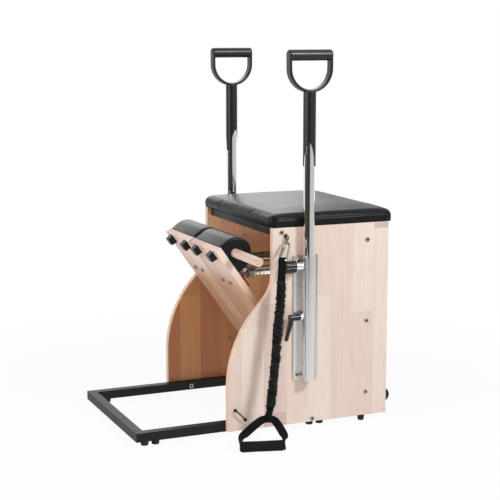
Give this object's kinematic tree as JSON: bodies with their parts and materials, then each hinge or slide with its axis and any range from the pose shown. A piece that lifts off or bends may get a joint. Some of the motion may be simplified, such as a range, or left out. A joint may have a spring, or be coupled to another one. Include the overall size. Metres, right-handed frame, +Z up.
{
  "type": "pilates chair",
  "caption": "Wooden box seat with an upholstered top, sprung foot pedals linked by a dowel, sliding side poles with D-grips, a steel floor frame and resistance straps.",
  "frame": {"origin": "on the floor, midway between the side panels and midway along the depth of the chair", "axes": "+Z up, -Y towards the pedals and the front, +X to the side where the dowel sticks out"},
  "size_m": [0.8558, 0.778, 1.059],
  "materials": {
    "panel_wood": "clear satin lacquer",
    "pedal_wood": "clear satin lacquer",
    "black_leather": "grained",
    "black_steel": "textured powder coat",
    "rubber": "matte",
    "black_plastic": "fine texture",
    "foam": "closed-cell foam",
    "red_plastic": "gloss",
    "socket_aluminium": "satin anodised",
    "chrome": "polished",
    "zinc_steel": "zinc plated",
    "black_webbing": "woven"
  },
  "bodies": {
    "base": {"back_panel": "panel_wood", "seat_rail": "black_steel", "seat_board": "pedal_wood", "seat_cushion": "black_leather", "panel_bolts": "zinc_steel", "floor_frame": "black_steel", "frame_end_caps": "black_plastic", "rubber_feet": "rubber", "nuts": "zinc_steel", "pedal_axle": "zinc_steel", "axle_spacers": "zinc_steel", "spring_hook_plate": "zinc_steel", "hook_plate_screws": "zinc_steel", "socket_bolts": "zinc_steel", "clamp_bosses": "chrome", "wheel_forks": "black_steel", "strap_eyes": "black_steel", "strap_anchors": "black_steel", "strap_clips": "chrome", "strap_handles": "foam", "right_side_panel": "panel_wood", "right_pole_socket": "socket_aluminium", "right_strap_webbing": "black_webbing", "right_strap_sleeve": "black_webbing", "left_side_panel": "panel_wood", "left_pole_socket": "socket_aluminium", "left_strap_webbing": "black_webbing", "left_strap_sleeve": "black_webbing"},
    "dowel": {"link_dowel": "pedal_wood"},
    "right_pedal": {"right_pedal_board": "pedal_wood", "right_pedal_pad": "black_leather", "right_pedal_bumpers": "rubber", "right_pedal_hinge": "zinc_steel", "right_spring_eyes": "zinc_steel", "right_spring_clips": "red_plastic"},
    "right_spring_rear": {"right_springs": "zinc_steel"},
    "right_spring_front": {"right_spring_sleeves": "rubber"},
    "right_pole": {"right_pole": "chrome", "right_pole_grip": "black_plastic"},
    "right_knob": {"right_clamp_knob": "black_plastic", "right_knob_screw": "zinc_steel"},
    "right_lever": {"right_clamp_lever": "black_plastic", "right_lever_screw": "zinc_steel"},
    "right_wheel": {"right_transport_wheel": "rubber"},
    "left_pedal": {"left_pedal_board": "pedal_wood", "left_pedal_pad": "black_leather", "left_pedal_bumpers": "rubber", "left_pedal_hinge": "zinc_steel", "left_spring_eyes": "zinc_steel", "left_spring_clips": "red_plastic"},
    "left_spring_rear": {"left_springs": "zinc_steel"},
    "left_spring_front": {"left_spring_sleeves": "rubber"},
    "left_pole": {"left_pole": "chrome", "left_pole_grip": "black_plastic"},
    "left_knob": {"left_clamp_knob": "black_plastic", "left_knob_screw": "zinc_steel"},
    "left_lever": {"left_clamp_lever": "black_plastic", "left_lever_screw": "zinc_steel"},
    "left_wheel": {"left_transport_wheel": "rubber"}
  },
  "joints": [
    {"name": "left_pedal_swing", "type": "hinge", "parent": "base", "child": "left_pedal", "pos_m": [0, 0.215, 0.025], "axis": [1, 0, 0], "range_deg": [0, 50.5], "stiffness_Nm_per_rad": 40, "springref_deg": -20.05},
    {"name": "right_pedal_swing", "type": "hinge", "parent": "base", "child": "right_pedal", "pos_m": [0, 0.215, 0.025], "axis": [1, 0, 0], "range_deg": [0, 50.5], "stiffness_Nm_per_rad": 40, "springref_deg": -20.05},
    {"name": "dowel_slide", "type": "slide", "parent": "right_pedal", "child": "dowel", "axis": [1, 0, 0], "range_m": [0, 0.42]},
    {"name": "right_spring_swing", "type": "hinge", "parent": "base", "child": "right_spring_rear", "pos_m": [0, 0.269, 0.432], "axis": [1, 0, 0], "range_deg": [0, 33.5]},
    {"name": "right_spring_stretch", "type": "slide", "parent": "right_spring_rear", "child": "right_spring_front", "axis": [0, -1, 0.0063], "range_m": [0, 0.33], "deforming": ["right_springs"]},
    {"name": "right_pole_slide", "type": "slide", "parent": "base", "child": "right_pole", "axis": [0, 0, 1], "range_m": [-0.24, 0.09]},
    {"name": "right_knob_turn", "type": "hinge", "parent": "base", "child": "right_knob", "pos_m": [0.276, 0.045, 0.47], "axis": [0, 1, 0], "continuous": true},
    {"name": "right_lever_turn", "type": "hinge", "parent": "base", "child": "right_lever", "pos_m": [0.276, 0.06, 0.327], "axis": [0, -1, 0], "range_deg": [0, 150]},
    {"name": "right_wheel_turn", "type": "hinge", "parent": "base", "child": "right_wheel", "pos_m": [0.222, 0.369, 0.061], "axis": [1, 0, 0], "continuous": true},
    {"name": "left_spring_swing", "type": "hinge", "parent": "base", "child": "left_spring_rear", "pos_m": [0, 0.269, 0.432], "axis": [1, 0, 0], "range_deg": [0, 33.5]},
    {"name": "left_spring_stretch", "type": "slide", "parent": "left_spring_rear", "child": "left_spring_front", "axis": [0, -1, 0.0063], "range_m": [0, 0.33], "deforming": ["left_springs"]},
    {"name": "left_pole_slide", "type": "slide", "parent": "base", "child": "left_pole", "axis": [0, 0, 1], "range_m": [-0.24, 0.09]},
    {"name": "left_knob_turn", "type": "hinge", "parent": "base", "child": "left_knob", "pos_m": [-0.276, 0.045, 0.47], "axis": [0, 1, 0], "continuous": true},
    {"name": "left_lever_turn", "type": "hinge", "parent": "base", "child": "left_lever", "pos_m": [-0.276, 0.06, 0.327], "axis": [0, 1, 0], "range_deg": [0, 150]},
    {"name": "left_wheel_turn", "type": "hinge", "parent": "base", "child": "left_wheel", "pos_m": [-0.222, 0.369, 0.061], "axis": [1, 0, 0], "continuous": true}
  ],
  "couplings": [
    {"joint": "right_pedal_swing", "follows": "left_pedal_swing", "ratio": 1},
    {"joint": "right_spring_swing", "follows": "left_pedal_swing", "ratio": 0.65849},
    {"joint": "right_spring_stretch", "follows": "left_pedal_swing", "m_per_rad": 0.3677},
    {"joint": "left_spring_swing", "follows": "left_pedal_swing", "ratio": 0.65849},
    {"joint": "left_spring_stretch", "follows": "left_pedal_swing", "m_per_rad": 0.3677}
  ]
}
